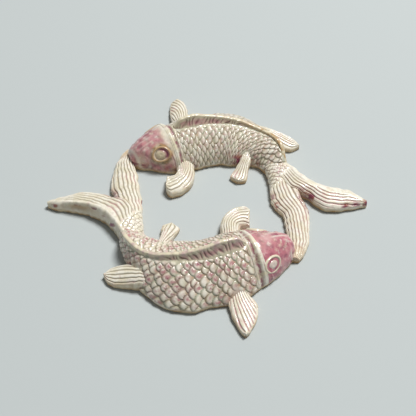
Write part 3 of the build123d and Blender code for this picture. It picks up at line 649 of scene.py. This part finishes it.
def lobe_skin(koi, which):
    """Tail lobe: a slab on an arc from the body's end, with scales at its root that give way to flowing rays.

    Up to the notch the two lobes' tops run into each other, so the edge between them stays high there.
    """
    ring = which == "tail_ring_lobe"
    root, outward = spine(np.array(-BODY_REAR_LENGTH * LOBE_ROOT_SHARE))
    share = np.linspace(0, 1, 260)
    if ring:
        table, half_width, thickness = RING_LOBE_SHARES[koi], RING_LOBE_HALF_WIDTH, RING_LOBE_THICKNESS
        start = root - outward * (HALF_WIDTH * RING_LOBE_INSET_SHARE)
        snout, normal = spine(np.array(BODY_FRONT_LENGTH + GILL_BAND_WIDTH + HEAD_LENGTH))
        forward = np.array([-normal[1], normal[0]])
        end = -(snout + forward * (RING_LOBE_HALF_WIDTH * SNOUT_SEAT_SHARE)) + np.array([0, RING_LOBE_END])
        bulge = -RING_LOBE_BULGE[koi]
    else:
        table, half_width, thickness = FREE_LOBE_SHARES[koi], FREE_LOBE_HALF_WIDTH, FREE_LOBE_RIDGE_HEIGHT
        start = root + outward * (HALF_WIDTH * FREE_LOBE_OFFSET_SHARE)
        end = np.array([-FREE_LOBE_REACH, -FREE_LOBE_TIP_BACK[koi]])
        bulge = FREE_LOBE_BULGE
    points, normals = arc_path(start, end, bulge, share)
    run = path_run(points)
    left, right, crown, lean = eased(table, share)
    seed = len(koi) + 3.0 * ring
    ends = ramp(0.0, 0.12, share) * (1 - ramp(0.93, 1.0, share))
    left = half_width * left + 0.6 * ends * wobble(run * 0.5, run * 0.23, seed)
    right = half_width * right + 0.6 * ends * wobble(run * 0.5, run * 0.23, seed + 1.5)
    crown = thickness * crown
    joined = 1 - ramp(0.36, 0.47, share)
    low = crown * LOBE_FOOT_SHARE
    high = crown * (LOBE_FOOT_SHARE + (0.50 if ring else 0.34) * joined)
    side, foot = section_track(130, 7)
    lateral, height = dome(
        side, foot, left, right, crown, left * lean if not ring else 0 * left, high if ring else low,
        low if ring else high, SLAB_POWER + joined * ring, SLAB_POWER + joined * (not ring),
    )
    slab = carried(points, normals, lateral, height)
    across = (lateral - ((left - right) / 2)[:, None]) / ((left + right) / 2)[:, None]
    flow = share[:, None]
    wander = 0.7 * wobble(run[:, None] * 0.09, across * 1.4, seed + 4)
    if ring:
        phase = (across + 1) * 3.4 - 1.5 * ramp(0.1, 0.75, flow) + wander
        limit = 0.21 - 0.04 * across
        topside = 1 - ramp(0.88, 0.98, np.abs(across))
    else:
        phase = (across + 1) * 3.5 + 1.8 * flow + wander
        limit = 0.15 - 0.03 * across
        rim = (left * lean)[:, None]
        topside = ramp(0.6, 2.2, rim - lateral) * (1 - ramp(0.90, 0.99, -across))
    scaled = 1 - ramp(limit - 0.015, limit + 0.025, flow)
    swell, pits, *_ = pressed_scales(run[:, None] / 3.9, lateral / 2.5, seed)
    rays = ray_grooves(phase) * (1 - 0.35 * ramp(0.8, 1.0, flow))
    groove = np.where(scaled > 0.5, pits, rays * ramp(0.0, 0.05, flow - limit)) * topside
    relief = np.where(scaled > 0.5, 1.1 * swell - 0.7, -0.85 * rays * ramp(0.0, 0.05, flow - limit)) * topside
    lumps = 0.5 * wobble(slab[..., 0] * 0.5, slab[..., 1] * 0.5, 7.0) * ramp(0.84, 0.95, flow) * topside
    relief = (relief + lumps) * ramp(0.35, 0.6, height / crown[:, None])
    wall = np.clip(1 - topside, 0, 1) * (1 - ramp(0.80, 0.97, height / crown[:, None]))
    # On the front koi's free lobe a hollow is pressed into the wall, and its middle is also painted in the bare clay's
    # tan as painted shade
    hollow = np.zeros_like(wall)
    if (koi, which) == ("front_koi", "tail_free_lobe"):
        hollow = hump(height / crown[:, None], 0.66, 0.24) * hump(flow, 0.66, 0.20) * ramp(0.0, 0.8, lateral - rim)
    relief = relief - 1.2 * hollow
    spots = ramp(0.30, 0.65, wobble(slab[..., 0] * 0.45, slab[..., 1] * 0.45 + slab[..., 2] * 0.4, seed + 2))
    blush = ramp(-0.1, 0.7, wobble(slab[..., 0] * 0.13, slab[..., 1] * 0.13, seed + 5))
    facing = ramp(0.55, 0.95, across if ring else -across) * hump(flow, 0.45, 0.08)
    if koi == "rear_koi":
        blush = np.maximum(blush, ramp(0.25, 0.45, flow) * (0.4 if ring else 1.0))
        patch = ramp(0.55, 0.85, -across) * (1 - ramp(0.95, 1.0, -across)) * ramp(-0.1, 0.4, wobble(run[:, None] * 0.4, across, 3.0))
        facing = facing + patch * (hump(flow, 0.42, 0.10) if ring else ramp(0.45, 0.55, flow))
    tip = ramp(0.86, 0.95, flow) if ring else 0.0 * flow
    marks = {
        "groove": groove,
        "heart": blush,
        "spot": np.clip(spots * np.maximum(wall, tip) + 0.8 * spots * ramp(0.93, 1.0, flow) + facing, 0, 1),
        "own": np.clip(wall, 0, 1),
        # bare clay along the foot and at the ring lobe's tip, plus painted shade in the front free lobe's hollow
        "bare_clay_and_shade": np.clip(np.maximum(np.maximum(bare_foot(slab), 0.55 * tip), 0.8 * hollow), 0, 1),
    }
    return raised(slab, relief, foot), marks


def fin_skin(koi, name):
    """Paired fin: a slab that lies on the table and thins from its root to a rounded tip, with rays that fan out."""
    rows, _, _, swing, length, half_width, lead, radius, root_height, tip_height = FINS[koi][name]
    root, normal = fin_root(koi, name)
    heading = math.atan2(normal[1], normal[0]) + math.radians(swing)
    share = np.concatenate([np.linspace(-FIN_SUNK_SHARE, 0, 12, endpoint=False), np.sin(np.linspace(0, 1, 130) * math.pi / 2) ** 1.2])
    distance = (length - TIP_CLEARANCE) * share
    straight = np.minimum(distance, lead) if radius else distance
    turn = np.maximum(distance - lead, 0) / radius if radius else np.zeros_like(distance)
    now = heading - turn
    bend = np.stack([math.sin(heading) - np.sin(now), np.cos(now) - math.cos(heading)], -1) * radius
    points = root + np.array([math.cos(heading), math.sin(heading)]) * straight[:, None] + bend
    normals = np.stack([-np.sin(now), np.cos(now)], -1)
    left, right, drop = eased(rows, np.maximum(share, 0))
    seed = len(koi) + 2.3 * len(name)
    blunt = 0.16 if "pelvic" in name else 0.10 if "inner" in name else 0.06
    round_off = np.sqrt(np.clip(1 - (np.maximum(share - 1 + blunt, 0) / (blunt + 0.0002)) ** 2, 0.02, 1))
    ends = 0.4 * (1 - ramp(0.88, 1.0, share))
    left = half_width * left * round_off + ends * wobble(distance * 0.6, distance * 0.2, seed)
    right = half_width * right * round_off + ends * wobble(distance * 0.6, distance * 0.2, seed + 1.5)
    crown = root_height + (tip_height - root_height) * drop
    side, foot = section_track(120, 7)
    edge = crown * FIN_FOOT_SHARE
    lateral, height = dome(side, foot, left, right, crown, 0 * left, edge, edge, SLAB_POWER, SLAB_POWER)
    slab = carried(points, normals, lateral, height)
    across = (lateral - ((left - right) / 2)[:, None]) / ((left + right) / 2)[:, None]
    fan = share[:, None]
    wander = 0.6 * wobble(distance[:, None] * 0.12, across * 1.4, seed + 4)
    if name in FIN_SWEEP:
        phase = FIN_RAYS[name] * (across + 1) / 2 + FIN_SWEEP[name] * np.sin(fan * 2.2) + 0.8 * across * (1 - fan) ** 2
    else:
        bearing = np.arctan2(lateral, distance[:, None] + FAN_PIVOT_SHARE * length)
        phase = FIN_RAYS[name] * (bearing / FAN_ANGLE - FAN_CURL * fan**2)
    topside = 1 - ramp(0.84, 0.97, np.abs(across))
    groove = ray_grooves(phase + wander) * topside * (1 - ramp(0.93, 1.0, fan))
    relief = -0.65 * groove * ramp(0.55, 0.75, height / crown[:, None])
    wall = np.clip(1 - topside, 0, 1) * (1 - ramp(0.85, 0.97, height / crown[:, None]))
    blush = ramp(0.05, 0.7, wobble(slab[..., 0] * 0.17, slab[..., 1] * 0.17, seed + 5))
    if (koi, name) == ("front_koi", "outer_pectoral_fin"):
        blush = np.ones_like(blush)
    marks = {
        "groove": groove,
        "heart": blush,
        "spot": 0.0,
        "own": np.maximum(wall, ramp(0.95, 1.0, fan)),
        "bare_clay_and_shade": bare_foot(slab),
    }
    return raised(slab, relief, foot), marks


def tone(red, green, blue):
    """Colour of 0 to 255 screen values, as light."""
    screen = np.array([red, green, blue]) / 255
    light = np.where(screen <= 0.04045, screen / 12.92, ((screen + 0.055) / 1.055) ** 2.4)
    return (*light.tolist(), 1.0)


CREAM = tone(229, 219, 190)
PALE = tone(246, 240, 224)
WARM = tone(214, 197, 162)
TAN = tone(188, 152, 104)
CELADON = tone(164, 168, 144)
MOSS = tone(142, 127, 98)
UMBER = tone(140, 112, 96)
MAUVE = tone(206, 182, 172)
DUSK = tone(184, 130, 132)
ROSE = tone(196, 118, 130)
PLUM = tone(140, 68, 90)
RUST = tone(158, 84, 62)


class Finish:
    """A glaze: small helpers that add and join the nodes of one material."""

    def __init__(self, name):
        self.material = bpy.data.materials.new(name)
        self.material.use_nodes = True
        self.tree = self.material.node_tree
        self.shader = self.tree.nodes["Principled BSDF"]
        self.place = self.tree.nodes.new("ShaderNodeTexCoord").outputs["Object"]

    def put(self, socket, value):
        """Joins an output to a socket, or sets the socket to a constant."""
        if isinstance(value, bpy.types.NodeSocket):
            self.tree.links.new(value, socket)
        else:
            socket.default_value = value

    def mark(self, name):
        """A field stored on the piece's points."""
        node = self.tree.nodes.new("ShaderNodeAttribute")
        node.attribute_name = name
        return node.outputs["Fac"]

    def cloud(self, size, detail):
        """Cloudy noise with patches of a size in millimetres."""
        noise = self.tree.nodes.new("ShaderNodeTexNoise")
        noise.inputs["Scale"].default_value = 1 / (size * MM)
        noise.inputs["Detail"].default_value = detail
        self.tree.links.new(self.place, noise.inputs["Vector"])
        return noise.outputs["Fac"]

    def mottle(self, size, low, high):
        """Cloudy patches cut to 0 below low and 1 above high."""
        return self.stretch(self.cloud(size, 3.0), low, high)

    def stretch(self, value, low, high, to_low=0.0, to_high=1.0):
        """Smooth step of a value between two limits."""
        node = self.tree.nodes.new("ShaderNodeMapRange")
        node.interpolation_type = "SMOOTHSTEP"
        self.put(node.inputs["Value"], value)
        for key, number in (("From Min", low), ("From Max", high), ("To Min", to_low), ("To Max", to_high)):
            node.inputs[key].default_value = number
        return node.outputs["Result"]

    def times(self, first, second):
        """Product of two fields, held in 0 to 1."""
        node = self.tree.nodes.new("ShaderNodeMath")
        node.operation = "MULTIPLY"
        node.use_clamp = True
        self.put(node.inputs[0], first)
        self.put(node.inputs[1], second)
        return node.outputs["Value"]

    def blend(self, factor, below, above):
        """One colour over another."""
        node = self.tree.nodes.new("ShaderNodeMix")
        node.data_type = "RGBA"
        self.put(node.inputs["Factor"], factor)
        self.put(node.inputs["A"], below)
        self.put(node.inputs["B"], above)
        return node.outputs["Result"]

    def clay_white(self):
        """Cream and pale glaze in clouds, with fine celadon and rose flecks."""
        white = self.blend(self.mottle(7.0, 0.38, 0.60), CREAM, PALE)
        white = self.blend(self.times(self.mottle(2.4, 0.50, 0.68), 0.35), white, CELADON)
        return self.blend(self.times(self.mottle(3.6, 0.54, 0.70), 0.3), white, ROSE)

    def fire(self, colour, gloss, matt):
        """Bare clay over the glaze, whose tan also stands for painted shade where a hollow is marked with it, a rougher
        finish where either is marked, and the fine unevenness of the surface.
        """
        bare_clay_and_shade = self.mark("bare_clay_and_shade")
        clay = self.blend(self.mottle(5.0, 0.35, 0.7), TAN, WARM)
        self.put(self.shader.inputs["Base Color"], self.blend(bare_clay_and_shade, colour, clay))
        self.put(self.shader.inputs["Roughness"], self.stretch(bare_clay_and_shade, 0.0, 1.0, gloss, matt))
        self.shader.inputs["Coat Weight"].default_value = 0.35
        self.shader.inputs["Coat Roughness"].default_value = 0.10
        bump = self.tree.nodes.new("ShaderNodeBump")
        bump.inputs["Strength"].default_value = 0.3
        bump.inputs["Distance"].default_value = 0.25 * MM
        self.tree.links.new(self.cloud(1.7, 4.0), bump.inputs["Height"])
        self.tree.links.new(bump.outputs["Normal"], self.shader.inputs["Normal"])
        return self.material


def scale_glaze(koi):
    """Cream scales with rose hearts, painted shade in celadon and tan on their low sides, painted highlights in pale
    cream on their raised parts, celadon, moss and plum in the grooves, and stains by the fins' roots.
    """
    g = Finish(f"{koi}_scale_glaze")
    cream = g.clay_white()
    blush = g.times(g.mottle(12.0, 0.32, 0.54), g.mottle(2.2, 0.34, 0.58))
    heart = g.times(g.times(g.mark("heart"), 1.3), blush)
    rose = g.blend(g.mottle(5.0, 0.50, 0.72), DUSK, PLUM)
    # painted shade: celadon and tan over each scale's low side
    shaded = g.blend(g.mottle(7.0, 0.40, 0.60), CELADON, TAN)
    cream = g.blend(g.times(g.mark("low_side_shade"), 0.8), cream, shaded)
    # painted highlight: pale cream over each scale's raised part
    cream = g.blend(g.times(g.mark("rim"), 0.7), cream, PALE)
    colour = g.blend(g.times(heart, 0.95 if koi == "front_koi" else 0.5), cream, rose)
    deep = g.blend(g.mottle(6.0, 0.38, 0.56), CELADON, MOSS)
    deep = g.blend(g.times(g.mottle(10.0, 0.48, 0.62), 0.75 if koi == "front_koi" else 0.35), deep, g.blend(0.4, PLUM, MOSS))
    colour = g.blend(g.times(g.mark("groove"), 0.88), colour, deep)
    colour = g.blend(g.times(g.mark("pool"), 0.35 if koi == "front_koi" else 0.6), colour, CELADON)
    stain = g.blend(g.mottle(4.0, 0.4, 0.6), PLUM, RUST)
    colour = g.blend(g.times(g.mark("stain"), g.mottle(5.0, 0.38, 0.54)), colour, stain)
    return g.fire(colour, 0.28, 0.62)


def head_glaze(koi):
    """Rose over cream, darker in clouds, olive on the cheek, left pale on the lip, brow and cheek lines."""
    g = Finish(f"{koi}_head_glaze")
    cream = g.clay_white()
    rose = g.blend(g.times(g.mottle(4.0, 0.40, 0.66), 0.75), ROSE, PLUM)
    flush = g.times(g.times(g.mark("flush"), 1.0 if koi == "front_koi" else 0.9), g.mottle(3.0, 0.10, 0.52))
    olive = g.blend(g.mottle(4.0, 0.40, 0.60), TAN, MOSS)
    colour = g.blend(g.times(g.mark("olive"), g.mottle(3.5, 0.20, 0.60)), cream, olive)
    colour = g.blend(flush, colour, rose)
    colour = g.blend(g.times(g.mark("groove"), 0.75), colour, PLUM)
    colour = g.blend(g.times(g.mark("pale"), 0.75), colour, PALE)
    return g.fire(colour, 0.26, 0.45)


def gill_glaze(koi):
    """Pale ridges with dabs of plum in the groove between them."""
    g = Finish(f"{koi}_gill_glaze")
    cream = g.clay_white()
    dabs = g.times(g.mark("groove"), g.mottle(3.2, 0.40, 0.56))
    colour = g.blend(g.times(g.mark("groove"), 0.5), cream, MOSS)
    colour = g.blend(g.times(dabs, 0.85), colour, PLUM)
    return g.fire(colour, 0.28, 0.6)


def dorsal_glaze(koi):
    """Plum strokes on a celadon and rose face under a pale crest."""
    g = Finish(f"{koi}_dorsal_glaze")
    ground = g.blend(g.mottle(5.0, 0.28, 0.50), CELADON, CREAM)
    face = g.blend(g.times(g.mark("flush"), g.mottle(4.0, 0.30, 0.66)), ground, g.blend(0.45, ROSE, MAUVE))
    stroke = g.blend(g.mottle(7.0, 0.40, 0.58), UMBER, PLUM)
    colour = g.blend(g.times(g.mark("groove"), 0.85), face, stroke)
    if koi == "rear_koi":
        crest = g.blend(g.times(g.mark("worn"), g.mottle(4.0, 0.34, 0.60)), CREAM, TAN)
    else:
        crest = g.blend(g.mottle(4.0, 0.40, 0.64), CREAM, MAUVE)
    colour = g.blend(g.times(g.mark("crest"), g.mottle(2.6, 0.22, 0.50)), colour, crest)
    return g.fire(colour, 0.32, 0.6)


def eye_glaze(koi):
    """Cream button and rim with a plum groove."""
    g = Finish(f"{koi}_eye_glaze")
    white = g.clay_white()
    white = g.blend(0.65, white, MAUVE if koi == "front_koi" else WARM)
    white = g.blend(g.times(g.mark("rim"), 0.8), white, CREAM if koi == "front_koi" else TAN)
    return g.fire(g.blend(g.mark("groove"), white, PLUM), 0.24, 0.6)


def fin_glaze(koi, kind):
    """Cream rays with moss and rose in the grooves, plum spots, and tan on the cut edges."""
    g = Finish(f"{koi}_{kind}_glaze")
    cream = g.blend(0.35, g.clay_white(), PALE)
    deep = g.blend(g.times(g.mark("heart"), g.mottle(8.0, 0.30, 0.52)), MOSS, g.blend(0.4, ROSE, PLUM))
    colour = g.blend(g.times(g.mark("groove"), 0.8), cream, deep)
    edge = g.times(g.mark("own"), g.mottle(5.0, 0.20, 0.60))
    colour = g.blend(g.times(edge, 0.25 if kind == "tail" else 0.6), colour, g.blend(g.mottle(6.0, 0.4, 0.6), TAN, WARM))
    colour = g.blend(g.times(g.mark("spot"), g.mottle(4.0, 0.30, 0.55)), colour, g.blend(g.mottle(5.0, 0.42, 0.58), PLUM, RUST))
    return g.fire(colour, 0.30, 0.62)


for koi, turn in (("front_koi", 0.0), ("rear_koi", math.pi)):
    finishes = {
        "scale_glaze": scale_glaze(koi),
        "gill_glaze": gill_glaze(koi),
        "head_glaze": head_glaze(koi),
        "dorsal_glaze": dorsal_glaze(koi),
        "eye_glaze": eye_glaze(koi),
        "fin_glaze": fin_glaze(koi, "fin"),
        "tail_glaze": fin_glaze(koi, "tail"),
    }
    clay = {
        "body": ("scale_glaze", body_skin(koi)),
        "gill_collar": ("gill_glaze", gill_skin(koi)),
        "head": ("head_glaze", head_skin(koi)),
        "dorsal_fin": ("dorsal_glaze", dorsal_skin(koi)),
        "tail_ring_lobe": ("tail_glaze", lobe_skin(koi, "tail_ring_lobe")),
        "tail_free_lobe": ("tail_glaze", lobe_skin(koi, "tail_free_lobe")),
    }
    clay.update({name: ("eye_glaze", eye_skin(koi, place)) for name, place in EYES.items()})
    clay.update({name: ("fin_glaze", fin_skin(koi, name)) for name in FINS[koi]})
    for name, (slot, (points, marks)) in clay.items():
        node = f"{koi}_{name}"
        add_piece(f"{node}_clay", node, points, marks, finishes[slot], turn)

# Studio: pale floor, a wide soft lamp from behind on the right, and an even sky
scene = bpy.context.scene
FLOOR_HALF = 2.0
floor_mesh = bpy.data.meshes.new("floor")
corners = [(-FLOOR_HALF, -FLOOR_HALF, 0), (FLOOR_HALF, -FLOOR_HALF, 0), (FLOOR_HALF, FLOOR_HALF, 0), (-FLOOR_HALF, FLOOR_HALF, 0)]
floor_mesh.from_pydata(corners, [], [(0, 1, 2, 3)])
paper = bpy.data.materials.new("floor_paper")
paper.use_nodes = True
paper.node_tree.nodes["Principled BSDF"].inputs["Base Color"].default_value = tone(190, 196, 195)
paper.node_tree.nodes["Principled BSDF"].inputs["Roughness"].default_value = 1.0
paper.node_tree.nodes["Principled BSDF"].inputs["Specular IOR Level"].default_value = 0.1
floor_mesh.materials.append(paper)
floor = bpy.data.objects.new("floor", floor_mesh)
scene.collection.objects.link(floor)

world = bpy.data.worlds.new("studio_sky")
world.use_nodes = True
world.node_tree.nodes["Background"].inputs["Color"].default_value = (0.95, 0.98, 1.0, 1.0)
world.node_tree.nodes["Background"].inputs["Strength"].default_value = 0.20
scene.world = world

lamp = bpy.data.lights.new("soft_lamp", "AREA")
lamp.shape = "DISK"
lamp.size = 1.0
lamp.energy = 98.0
lamp_stand = bpy.data.objects.new("soft_lamp", lamp)
lamp_stand.location = (0.95, 0.75, 2.80)
lamp_stand.rotation_euler = Vector(lamp_stand.location).to_track_quat("Z", "Y").to_euler()
scene.collection.objects.link(lamp_stand)

camera = bpy.data.cameras.new("camera")
camera.sensor_width = 36.0
camera.lens = 68.57
tripod = bpy.data.objects.new("camera", camera)
tripod.location = (0.72 * MM, -383.07 * MM, 422.76 * MM)
tripod.rotation_euler = (math.radians(42), 0, 0)
scene.collection.objects.link(tripod)
scene.camera = tripod
scene.view_settings.view_transform = "Standard"
